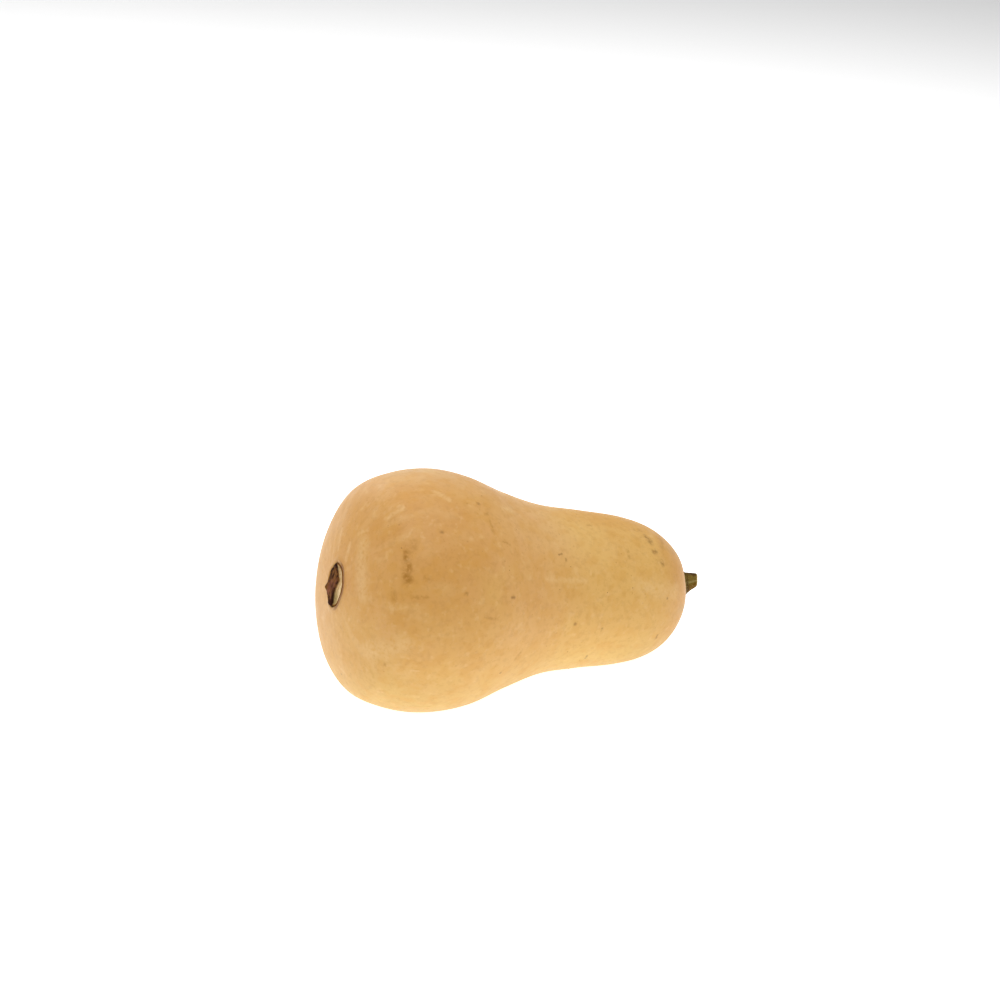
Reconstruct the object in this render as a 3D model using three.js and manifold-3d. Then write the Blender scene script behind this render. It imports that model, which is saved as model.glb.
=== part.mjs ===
// A butternut squash as picked, lying on its side, in millimetres with +Z up.
// The stem end points towards +X and the blossom end towards -X. It has three pieces:
// the fruit, the woody stub of its stem, and the corky scar where the flower sat.

import * as THREE from 'three';
import { mergeVertices } from 'three/addons/utils/BufferGeometryUtils.js';
import Module from 'manifold-3d';

const { degToRad, lerp, smoothstep } = THREE.MathUtils;

// Fruit
const FRUIT_LENGTH = 194;
const BULB_RADIUS = 61;
const WAIST_RADIUS = 43.5;
const NECK_RADIUS = 38.6;
const AXIS_ARCH = 0.8; // the axis arches up by this much at half length,
const AXIS_SWAY = 1.6; // sinks by this much in the bulb and rises as much in the neck
const RIB_COUNT = 10;
const RIB_DEPTH = 0.003; // as a share of the radius, on the two shoulders
const SHOULDER_REACH = 0.16; // share of the length between each end and its shoulder
const REST_TILT = degToRad(14); // the axis dips this much, so bulb and neck both rest
const REST_FLAT_DEPTH = 1.1; // the rind is flattened by this much where it rests
const FRUIT_RINGS = 54;
const FRUIT_SEGMENTS = 72;

// Half section of the fruit: distance from the blossom end, radius.
const FRUIT_OUTLINE = [
  [0, 0],
  [1, 12],
  [5.5, 33],
  [15.3, 51.2],
  [31, 58.5],
  [50, BULB_RADIUS],
  [69, 58],
  [89, 50.3],
  [111, WAIST_RADIUS],
  [135, 40.6],
  [156, NECK_RADIUS],
  [173, 34],
  [185.5, 25.2],
  [192.6, 12],
  [FRUIT_LENGTH, 0],
];

// Stem
const STEM_LENGTH = 12.5; // beyond the end of the fruit
const STEM_TIP_RADIUS = 3.3;
const STEM_FOOT_RADIUS = 11;
const STEM_ROOT_DEPTH = 6; // how far the foot reaches into the fruit
const STEM_RISE = 6.6; // it stands this far above the fruit's own axis
const STEM_DIP = degToRad(4); // it points this much below the level
const STEM_SWING = degToRad(6); // and this much round towards +Y
const STEM_RIDGES = 5;
const TIP_RIDGE = 0.06; // ridge height as a share of the radius, at the tip
const FOOT_RIDGE = 0.17; // and at the foot, where the ridges spread as buttresses
const CUT_LIP = 0.9; // the cut end has a lip this wide round a hollow pith
const CUT_SLANT = 0.5; // the cut's +Y side stands out by this share of its distance across
const CUT_SINK = 0.3; // and slopes in by this much before the pith falls away
const PITH_RADIUS = 1.2;
const PITH_DEPTH = 1.6;
const DIMPLE_DEPTH = 1.6; // the fruit draws in round the stem
const DIMPLE_REACH = 13;
const STEM_RINGS = 20;
const STEM_SEGMENTS = 50;

// Half section of the stem's side: distance beyond the end of the fruit, radius.
const STEM_OUTLINE = [
  [-STEM_ROOT_DEPTH, STEM_FOOT_RADIUS],
  [-2, 9.8],
  [1, 7.5],
  [4, 5.8],
  [8, 4.4],
  [STEM_LENGTH, STEM_TIP_RADIUS],
];

// Blossom scar
const SCAR_RADIUS = 10.3; // half its height
const SCAR_NARROWING = 0.74; // its width as a share of its height
const SCAR_ROLL = degToRad(17); // its long axis leans this much towards +Y
const SCAR_RISE = 2.2; // it sits this far above the axis
const SCAR_SHIFT = -3.1; // and this far to the +Y side of it
const SCAR_THICKNESS = 3;
const SCAR_TAPER = 0.4; // its back is this much smaller all round
const SCAR_WAVER = 0.03; // how far its edge strays, as a share of the radius
const EDGE_SINK = 0.8; // its edge lies this far below the end of the fruit
const MARGIN_WIDTH = 3; // the pale margin
const MARGIN_SINK = 1.5; // and how far below the end of the fruit it lies
const CRUST_RISE = 0.8; // the dark crust stands up inside the margin
const CRUST_ROUND = 0.6; // with an edge rounded by this much
const CRUST_DISH = 0.3; // and a shallow hollow between its rim and its middle
const NUB_RISE = 1.8; // the withered style, a blunt point on the crust
const NUB_RADIUS = 1.7;
const NUB_SIDE = 5; // the nub's place from the middle, towards +Y
const NUB_DROP = 2; // and downwards
const SCAR_SEGMENTS = 44;

// Clear space between the fruit and a piece set into it
const SEAT_GAP = 0.3;

const wasm = await Module();
wasm.setup();

// Bell-shaped falloff: 1 in the middle, 0.37 at the given width.
function bell(distance, width) {
  return Math.exp(-((distance / width) ** 2));
}

// A smooth outline through the given points, as evenly spaced points.
function smoothOutline(outline, steps) {
  const curve = new THREE.SplineCurve(outline.map(([along, radius]) => new THREE.Vector2(along, radius)));
  return curve.getSpacedPoints(steps).map((point) => [point.x, point.y]);
}

// A closed body of revolution about X, from an outline of distances along X and radii.
function turned(outline, segments) {
  const profile = outline.map(([along, radius]) => new THREE.Vector2(radius, along));
  return new THREE.LatheGeometry(profile, segments).rotateZ(-Math.PI / 2);
}

// Moves each vertex of a geometry by a rule that changes the point it is given.
function reshape(geometry, rule) {
  const position = geometry.attributes.position;
  const point = new THREE.Vector3();
  for (let i = 0; i < position.count; i += 1) {
    point.fromBufferAttribute(position, i);
    rule(point);
    position.setXYZ(i, ...point);
  }
  return geometry;
}

// A closed solid from a geometry, with its seam joined and its collapsed faces dropped.
function toSolid(geometry) {
  const bare = geometry.clone();
  bare.deleteAttribute('normal');
  bare.deleteAttribute('uv');
  const merged = mergeVertices(bare);
  const corners = merged.index.array;
  const faces = [];
  for (let i = 0; i < corners.length; i += 3) {
    const face = corners.slice(i, i + 3);
    if (new Set(face).size === 3) {
      faces.push(...face);
    }
  }
  const mesh = new wasm.Mesh({
    numProp: 3,
    vertProperties: new Float32Array(merged.attributes.position.array),
    triVerts: new Uint32Array(faces),
  });
  return new wasm.Manifold(mesh);
}

function toGeometry(solid) {
  const mesh = solid.getMesh();
  const geometry = new THREE.BufferGeometry();
  geometry.setAttribute('position', new THREE.BufferAttribute(mesh.vertProperties, 3));
  geometry.setIndex(new THREE.BufferAttribute(mesh.triVerts, 1));
  geometry.computeVertexNormals();
  return geometry;
}

// How far the bent axis lies above a straight one, and its slope, at a share of the length.
function axisHeight(share) {
  return AXIS_ARCH * Math.sin(Math.PI * share) - AXIS_SWAY * Math.sin(2 * Math.PI * share);
}

function axisSlope(share) {
  const arch = Math.PI * AXIS_ARCH * Math.cos(Math.PI * share);
  const sway = 2 * Math.PI * AXIS_SWAY * Math.cos(2 * Math.PI * share);
  return (arch - sway) / FRUIT_LENGTH;
}

// The fruit before anything is cut from it: a turned body with faint ribs, a dimple
// for the stem and a slightly bent axis, tipped until its bulb and neck lie level.
function fruitForm() {
  const form = turned(smoothOutline(FRUIT_OUTLINE, FRUIT_RINGS), FRUIT_SEGMENTS);
  reshape(form, (point) => {
    const share = point.x / FRUIT_LENGTH;
    const blossomShoulder = bell(share - SHOULDER_REACH, SHOULDER_REACH);
    const stemShoulder = bell(1 - share - SHOULDER_REACH, SHOULDER_REACH);
    const turn = Math.atan2(point.z, point.y);
    const swell = 1 + RIB_DEPTH * (blossomShoulder + stemShoulder) * Math.cos(RIB_COUNT * turn);
    point.y *= swell;
    point.z *= swell;
    if (share > 0.5) {
      point.x -= DIMPLE_DEPTH * bell(Math.hypot(point.y, point.z - STEM_RISE), DIMPLE_REACH);
    }
    // Each ring stays square to the bent axis.
    point.x -= point.z * axisSlope(share);
    point.z += axisHeight(share);
  });
  return form.rotateY(REST_TILT);
}

// The stem stub: round-ridged and five-sided, spreading into buttresses at its foot,
// with a cup-shaped cut end. The clearance makes it larger, as the seat it needs.
function stemForm(clearance) {
  const side = smoothOutline(STEM_OUTLINE, STEM_RINGS);
  const root = -STEM_ROOT_DEPTH - clearance;
  const outline = [
    [root, 0],
    [root, STEM_FOOT_RADIUS + clearance],
    ...side.map(([along, radius]) => [along, radius + clearance]),
    [STEM_LENGTH - CUT_SINK, STEM_TIP_RADIUS - CUT_LIP],
    [STEM_LENGTH - PITH_DEPTH, PITH_RADIUS],
    [STEM_LENGTH - PITH_DEPTH, 0],
  ];
  return reshape(turned(outline, STEM_SEGMENTS), (point) => {
    const ridge = lerp(FOOT_RIDGE, TIP_RIDGE, smoothstep(point.x, 0, STEM_LENGTH));
    const swell = 1 - ridge * Math.cos(STEM_RIDGES * Math.atan2(point.z, point.y));
    point.y *= swell;
    point.z *= swell;
    point.x += CUT_SLANT * point.y * smoothstep(point.x, STEM_LENGTH / 3, STEM_LENGTH);
  });
}

// A body turned about X, then drawn to the scar's uneven oval.
function scarOval(outline) {
  return reshape(turned(outline, SCAR_SEGMENTS), (point) => {
    const turn = Math.atan2(point.z, point.y);
    const waver = 1 + SCAR_WAVER * (Math.sin(3 * turn + 1) + Math.sin(7 * turn + 2) / 2);
    point.y *= waver * SCAR_NARROWING;
    point.z *= waver;
  });
}

// The scar: a disc of cork with a pale sunken margin and a dark crust that stands up
// inside it, and on the crust the withered base of the style.
function scarForm() {
  const crustRadius = SCAR_RADIUS - MARGIN_WIDTH;
  const disc = scarOval([
    [-SCAR_THICKNESS, 0],
    [-SCAR_THICKNESS, SCAR_RADIUS - SCAR_TAPER],
    [-EDGE_SINK, SCAR_RADIUS],
    [-MARGIN_SINK, SCAR_RADIUS - MARGIN_WIDTH / 3],
    [-MARGIN_SINK, crustRadius],
    [CRUST_RISE - CRUST_ROUND, crustRadius - CRUST_ROUND / 2],
    [CRUST_RISE, crustRadius - 2 * CRUST_ROUND],
    [CRUST_RISE - CRUST_DISH, crustRadius * 0.6],
    [CRUST_RISE, crustRadius * 0.4],
    [CRUST_RISE, crustRadius * 0.2],
    [CRUST_RISE, 0],
  ]);
  return reshape(disc, (point) => {
    const fromNub = Math.hypot(point.y + NUB_SIDE, point.z + NUB_DROP);
    if (point.x > 0) {
      point.x += NUB_RISE * bell(fromNub, NUB_RADIUS);
    }
  });
}

// The recess that the scar lies in, open to the outside.
function scarSeat() {
  const mouth = CRUST_RISE + NUB_RISE;
  return scarOval([
    [-SCAR_THICKNESS - SEAT_GAP, 0],
    [-SCAR_THICKNESS - SEAT_GAP, SCAR_RADIUS - SCAR_TAPER + SEAT_GAP],
    [mouth, SCAR_RADIUS + SCAR_TAPER + SEAT_GAP],
    [mouth, 0],
  ]);
}

// A place on the tipped fruit, given along its axis, above it and beside it.
function placeOnFruit(along, side, above) {
  return new THREE.Vector3(along, side, above).applyAxisAngle(new THREE.Vector3(0, 1, 0), REST_TILT);
}

function placement(position, yaw, dip, roll) {
  const turn = new THREE.Quaternion().setFromEuler(new THREE.Euler(roll, dip, yaw, 'ZYX'));
  return new THREE.Matrix4().compose(position, turn, new THREE.Vector3(1, 1, 1));
}

const stemPlace = placement(placeOnFruit(FRUIT_LENGTH, 0, STEM_RISE), STEM_SWING, STEM_DIP, 0);
const scarDip = axisSlope(0) - REST_TILT;
const scarPlace = placement(placeOnFruit(0, SCAR_SHIFT, SCAR_RISE), Math.PI, scarDip, SCAR_ROLL);

// The fruit with its resting flats cut level and the seats of stem and scar cut out.
function fruit() {
  const form = fruitForm();
  form.computeBoundingBox();
  const groundSize = 2 * FRUIT_LENGTH;
  const ground = new THREE.BoxGeometry(groundSize, groundSize, groundSize);
  ground.translate(0, 0, form.boundingBox.min.z + REST_FLAT_DEPTH - groundSize / 2);
  const solid = toSolid(form)
    .subtract(toSolid(ground))
    .subtract(toSolid(stemForm(SEAT_GAP).applyMatrix4(stemPlace)))
    .subtract(toSolid(scarSeat().applyMatrix4(scarPlace)));
  const rind = new THREE.MeshStandardMaterial({ color: 0xd9a869, roughness: 0.5, metalness: 0 });
  return new THREE.Mesh(toGeometry(solid), rind);
}

function stem() {
  const wood = new THREE.MeshStandardMaterial({ color: 0x6e5f33, roughness: 0.85, metalness: 0 });
  const mesh = new THREE.Mesh(toGeometry(toSolid(stemForm(0))), wood);
  mesh.applyMatrix4(stemPlace);
  return mesh;
}

function blossomScar() {
  const cork = new THREE.MeshStandardMaterial({ color: 0x5b3a22, roughness: 0.9, metalness: 0 });
  const mesh = new THREE.Mesh(toGeometry(toSolid(scarForm())), cork);
  mesh.applyMatrix4(scarPlace);
  return mesh;
}

const squash = new THREE.Group();
const pieces = { fruit: fruit(), stem: stem(), blossom_scar: blossomScar() };
for (const [name, mesh] of Object.entries(pieces)) {
  mesh.name = name;
  squash.add(mesh);
}

// The origin is on the ground, under the middle of the whole squash.
squash.updateMatrixWorld(true);
const bounds = new THREE.Box3().setFromObject(squash, true);
const middle = bounds.getCenter(new THREE.Vector3());
squash.position.set(-middle.x, -middle.y, -bounds.min.z);

export default squash;
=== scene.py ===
# A butternut squash lying on its side: its rind, the stub of its stem and the cork where
# its flower sat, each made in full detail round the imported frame. Metres, +Z up; the stem
# end points towards +X.

import math

import bmesh
import bpy
from mathutils import Matrix, Vector, noise


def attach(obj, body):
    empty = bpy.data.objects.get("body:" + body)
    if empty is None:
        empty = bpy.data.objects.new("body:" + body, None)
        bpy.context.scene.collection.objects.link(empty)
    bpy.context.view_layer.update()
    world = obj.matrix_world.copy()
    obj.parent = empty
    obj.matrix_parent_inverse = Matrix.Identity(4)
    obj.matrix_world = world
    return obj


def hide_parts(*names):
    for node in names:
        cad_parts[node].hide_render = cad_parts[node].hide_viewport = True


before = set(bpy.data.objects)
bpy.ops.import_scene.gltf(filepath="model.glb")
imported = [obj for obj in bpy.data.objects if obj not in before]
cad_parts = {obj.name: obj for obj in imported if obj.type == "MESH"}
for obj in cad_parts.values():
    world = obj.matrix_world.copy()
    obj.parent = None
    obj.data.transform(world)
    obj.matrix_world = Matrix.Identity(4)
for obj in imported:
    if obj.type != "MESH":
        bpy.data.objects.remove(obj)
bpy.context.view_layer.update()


# ---------------------------------------------------------------------------------------
# Fruit
# One berry with a hard waxy rind, a round bulb and a long solid neck, grown in one piece:
# a half section turned about the axis, faintly ribbed and bent, and pressed flat by its
# own weight where bulb and neck rest.
# ---------------------------------------------------------------------------------------

MM = 0.001
FRUIT_LENGTH = 194 * MM
FRUIT_OUTLINE = [  # distance from the blossom end and radius, in millimetres
    (0, 0), (1, 12), (5.5, 33), (15.3, 51.2), (31, 58.5), (50, 61), (69, 58), (89, 50.3),
    (111, 43.5), (135, 40.6), (156, 38.6), (173, 34), (185.5, 25.2), (192.6, 12), (194, 0),
]
BLOSSOM_POLE = Vector((-99.78, 0, 72.97)) * MM  # the blossom end of the axis, in the frame
REST_TILT = math.radians(14)
AXIS_ARCH = 0.8 * MM
AXIS_SWAY = 1.6 * MM
RIB_COUNT = 10
RIB_DEPTH = 0.003  # as a share of the radius
SHOULDER_REACH = 0.16  # as a share of the length
LUMP_SIZE = 38 * MM
LUMP_HEIGHT = 0.5 * MM
SKIN_MARGIN = 0.04 * MM  # the rind is kept this far inside its nominal form
FLAT_EDGE = 0.25 * MM  # the rind rounds off into its resting flats over this much
SEAM_GAP = 0.0001 * MM  # vertices nearer than this are one, at a body's seam and poles

STEM_RISE = 6.6 * MM  # the stem stands this far above the fruit's axis
STEM_DIP = math.radians(4)
STEM_SWING = math.radians(6)
DIMPLE_DEPTH = 1.6 * MM
DIMPLE_REACH = 13 * MM
STEM_RIDGES = 5
BUTTRESS_HEIGHT = 0.5 * MM  # the stem's ridges run on under the rind
BUTTRESS_REACH = 17 * MM

SCAR_RADIUS = 10.3 * MM  # half its height
SCAR_NARROWING = 0.74
SCAR_RISE = 2.2 * MM
SCAR_SHIFT = -3.1 * MM
SCAR_ROLL = math.radians(17)
SCAR_WAVER = 0.03
RECESS_DEPTH = 2.4 * MM
RIM_ROLL = 0.3 * MM  # the rind stands up this much round the scar


class Field:
    """A node socket that takes part in sums, so that a tree reads as a formula."""

    def __init__(self, socket):
        self.socket = socket
        self.tree = socket.id_data

    def calculate(self, operation, *others):
        node = self.tree.nodes.new("ShaderNodeMath")
        node.operation = operation
        for socket, value in zip(node.inputs, (self, *others)):
            plug(socket, value)
        return Field(node.outputs[0])

    def __add__(self, other):
        return self.calculate("ADD", other)

    def __sub__(self, other):
        return self.calculate("SUBTRACT", other)

    def __mul__(self, other):
        return self.calculate("MULTIPLY", other)

    def __truediv__(self, other):
        return self.calculate("DIVIDE", other)

    def __rsub__(self, other):
        return self * -1 + other

    def __rtruediv__(self, other):
        return self.calculate("POWER", -1.0) * other

    __radd__ = __add__
    __rmul__ = __mul__

    def sin(self):
        return self.calculate("SINE")

    def cos(self):
        return self.calculate("COSINE")

    def angle(self, across):
        """The turn from the across axis to the point (across, self)."""
        return self.calculate("ARCTAN2", across)

    def larger(self, other):
        return self.calculate("MAXIMUM", other)

    def hypot(self, other):
        return (self * self + other * other).calculate("SQRT")

    def bell(self, width):
        """1 in the middle and 0.37 at the given width."""
        return (self / width * (self / width) * -1).calculate("EXPONENT")

    def ramp(self, low, high):
        """A smooth rise from 0 at low to 1 at high; low may be the larger."""
        node = self.tree.nodes.new("ShaderNodeMapRange")
        node.interpolation_type = "SMOOTHSTEP"
        for socket, value in zip(node.inputs, (self, low, high, 0.0, 1.0)):
            plug(socket, value)
        return Field(node.outputs[0])


def plug(socket, value):
    """Links a field or a socket to an input, or sets the input to a plain value."""
    if isinstance(value, Field):
        value = value.socket
    if isinstance(value, bpy.types.NodeSocket):
        socket.id_data.links.new(value, socket)
    else:
        socket.default_value = value


def add_node(tree, kind, settings=(), **inputs):
    """A new node with its settings and inputs; an underscore stands for a name's space."""
    node = tree.nodes.new(kind)
    for name, value in dict(settings).items():
        setattr(node, name, value)
    for name, value in inputs.items():
        plug(node.inputs[name.replace("_", " ")], value)
    return node


def new_group(name, kind, inputs, outputs):
    """A node group, its inputs as fields, and the node that takes its outputs. Sockets are
    given as name: (type, default)."""
    tree = bpy.data.node_groups.new(name, kind)
    for side, sockets in (("INPUT", inputs), ("OUTPUT", outputs)):
        for label, (socket_type, default) in sockets.items():
            socket = tree.interface.new_socket(
                label, in_out=side, socket_type="NodeSocket" + socket_type
            )
            if default is not None:
                socket.default_value = default
    entry = tree.nodes.new("NodeGroupInput")
    leave = tree.nodes.new("NodeGroupOutput")
    return tree, {label: Field(entry.outputs[label]) for label in inputs}, leave


def geometry_group(name, inputs):
    return new_group(name, "GeometryNodeTree", inputs, {"Geometry": ("Geometry", None)})


def vector_math(operation, first, second):
    """A node that works on two vectors. Its outputs are a vector and a value."""
    node = add_node(first.id_data, "ShaderNodeVectorMath", {"operation": operation})
    plug(node.inputs[0], first)
    plug(node.inputs[1], second)
    return node


def dot(first, second):
    return Field(vector_math("DOT_PRODUCT", first, second).outputs["Value"])


def scaled(tree, vector, factor):
    node = add_node(tree, "ShaderNodeVectorMath", {"operation": "SCALE"}, Scale=factor)
    plug(node.inputs[0], vector)
    return node.outputs[0]


def split(vector):
    """The three parts of a vector socket, as fields."""
    node = add_node(vector.id_data, "ShaderNodeSeparateXYZ", Vector=vector)
    return [Field(out) for out in node.outputs]


def join(tree, x, y, z):
    return add_node(tree, "ShaderNodeCombineXYZ", X=x, Y=y, Z=z).outputs[0]


def measured_in(place, point):
    """A point's three coordinates in the frame that a matrix places, as fields."""
    from_origin = vector_math("SUBTRACT", point, place.translation).outputs[0]
    return [dot(from_origin, axis) for axis in place.to_3x3().transposed()]


def set_in(place, x, y, z):
    """The other way round: a place in that frame as coordinates, as fields."""
    return [place[i][0] * x + place[i][1] * y + place[i][2] * z + place[i][3] for i in range(3)]


def noise_at(tree, point, size, detail=2.0, seed=0.0):
    """Noise from 0 to 1 with features of the given size."""
    node = add_node(
        tree, "ShaderNodeTexNoise", {"noise_dimensions": "4D"},
        Vector=point, W=seed, Scale=1 / size, Detail=detail,
    )
    return Field(node.outputs[0])


def position_here(tree):
    """Each vertex's place at this step of the tree."""
    return tree.nodes.new("GeometryNodeInputPosition").outputs[0]


def reshape(geometry, x, y, z):
    """Moves each vertex to a new place."""
    tree = geometry.id_data
    place = join(tree, x, y, z)
    return add_node(tree, "GeometryNodeSetPosition", Geometry=geometry, Position=place).outputs[0]


def push(geometry, distance, direction=None):
    """Moves each vertex along its normal, or in one direction."""
    tree = geometry.id_data
    if direction is None:
        direction = tree.nodes.new("GeometryNodeInputNormal").outputs[0]
    offset = scaled(tree, direction, distance)
    return add_node(tree, "GeometryNodeSetPosition", Geometry=geometry, Offset=offset).outputs[0]


def finished(geometry, material, leave):
    """The end of every tree: real geometry, smooth, with its material."""
    tree = geometry.id_data
    real = add_node(tree, "GeometryNodeRealizeInstances", Geometry=geometry).outputs[0]
    smooth = add_node(tree, "GeometryNodeSetShadeSmooth", Geometry=real).outputs[0]
    painted = add_node(tree, "GeometryNodeSetMaterial", Geometry=smooth, Material=material)
    plug(leave.inputs[0], painted.outputs[0])


def add_object(name, data):
    thing = bpy.data.objects.new(name, data)
    bpy.context.scene.collection.objects.link(thing)
    return thing


def outline_curve(name, outline):
    """A smooth curve through an outline's points, for a body that is turned about X. At
    each point it runs in line with the points on either side."""
    curve = bpy.data.curves.new(name, "CURVE")
    curve.dimensions = "3D"
    curve.resolution_u = 48
    line = curve.splines.new("BEZIER")
    line.bezier_points.add(len(outline) - 1)
    points = [Vector((along * MM, radius * MM, 0)) for along, radius in outline]
    for i, knot in enumerate(line.bezier_points):
        before = points[max(i - 1, 0)]
        after = points[min(i + 1, len(points) - 1)]
        pull = (after - before) / 6
        knot.handle_left_type = knot.handle_right_type = "FREE"
        knot.co = points[i]
        knot.handle_left = points[i] - pull
        knot.handle_right = points[i] + pull
    return add_object(name, curve)


def grown(name, tree, **inputs):
    """The result of a tree as an object with a plain mesh. An underscore in an input's
    name stands for a space."""
    host = add_object(name, bpy.data.meshes.new(name))
    modifier = host.modifiers.new("growth", "NODES")
    modifier.node_group = tree
    entries = [item for item in tree.interface.items_tree if item.in_out == "INPUT"]
    sockets = {entry.name: entry.identifier for entry in entries}
    for label, value in inputs.items():
        modifier[sockets[label.replace("_", " ")]] = value
    evaluated = host.evaluated_get(bpy.context.evaluated_depsgraph_get())
    mesh = bpy.data.meshes.new_from_object(evaluated)
    mesh.materials.pop(index=0)  # a new mesh starts with an empty slot
    host.modifiers.remove(modifier)
    host.data = mesh
    return host


def placed(along, side, above, yaw, dip, roll=0):
    """The frame of a piece that is set on the fruit, as a matrix, from the piece's place
    along, beside and above the fruit's axis and from its turns."""
    place = BLOSSOM_POLE + Matrix.Rotation(REST_TILT, 3, "Y") @ Vector((along, side, above))
    turns = Matrix.Rotation(yaw, 4, "Z") @ Matrix.Rotation(dip, 4, "Y")
    return Matrix.Translation(place) @ turns @ Matrix.Rotation(roll, 4, "X")


stem_place = placed(FRUIT_LENGTH, 0, STEM_RISE, STEM_SWING, STEM_DIP)
scar_dip = math.pi * (AXIS_ARCH - 2 * AXIS_SWAY) / FRUIT_LENGTH - REST_TILT
scar_place = placed(0, SCAR_SHIFT, SCAR_RISE, math.pi, scar_dip, SCAR_ROLL)


def turned_inputs(rings, segments, crowding):
    """The inputs of a tree with a turned body. Its rings crowd towards the ends by the
    last number, from 0 to 1."""
    return {
        "Outline": ("Object", None),
        "Rings": ("Int", rings),
        "Segments": ("Int", segments),
        "Crowding": ("Float", crowding),
    }


def turned_body():
    """A closed body turned about X from an outline. The attribute growth keeps each point's
    place on the straight body: the distance along it, and the cosine and sine of the turn."""
    inputs = turned_inputs(rings=200, segments=300, crowding=0.0)
    tree, given, leave = geometry_group("turned_body", inputs)
    grid = add_node(
        tree, "GeometryNodeMeshGrid",
        Size_X=1.0, Size_Y=1.0, Vertices_X=given["Rings"], Vertices_Y=given["Segments"],
    )
    ring, segment, _ = split(position_here(tree))
    share = ring + 0.5
    turn = (segment + 0.5) * math.tau
    crowded = share - given["Crowding"] * (share * math.tau).sin() / math.tau
    outline = add_node(tree, "GeometryNodeObjectInfo", Object=given["Outline"])
    sample = add_node(
        tree, "GeometryNodeSampleCurve", {"mode": "FACTOR", "use_all_curves": True},
        Curves=outline.outputs["Geometry"], Factor=crowded,
    )
    along, radius, _ = split(sample.outputs["Position"])
    cosine, sine = turn.cos(), turn.sin()
    kept = add_node(
        tree, "GeometryNodeStoreNamedAttribute", {"data_type": "FLOAT_VECTOR", "domain": "POINT"},
        Geometry=grid.outputs["Mesh"], Name="growth", Value=join(tree, along, cosine, sine),
    )
    body = reshape(kept.outputs[0], along, radius * cosine, radius * sine)
    closed = add_node(tree, "GeometryNodeMergeByDistance", Geometry=body, Distance=SEAM_GAP)
    outwards = add_node(tree, "GeometryNodeFlipFaces", Mesh=closed.outputs[0])
    plug(leave.inputs[0], outwards.outputs[0])
    return tree


def growth_here(tree):
    """Each point's place on the straight body: distance along, cosine and sine."""
    settings = {"data_type": "FLOAT_VECTOR"}
    return add_node(tree, "GeometryNodeInputNamedAttribute", settings, Name="growth").outputs[0]


def turned_from(tree, given):
    """The turned body with the inputs of the same names."""
    inputs = {name: given[name] for name in ("Outline", "Rings", "Segments", "Crowding")}
    return add_node(tree, "GeometryNodeGroup", {"node_tree": turned_body_tree}, **inputs).outputs[0]


def scar_reach(across, up):
    """How far out a point of the scar's own frame lies, with 1 at the scar's edge."""
    across = across / SCAR_NARROWING
    turn = up.angle(across)
    waver = SCAR_WAVER * ((3 * turn + 1).sin() + (7 * turn + 2).sin() / 2) + 1
    return across.hypot(up) / (waver * SCAR_RADIUS)


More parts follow.
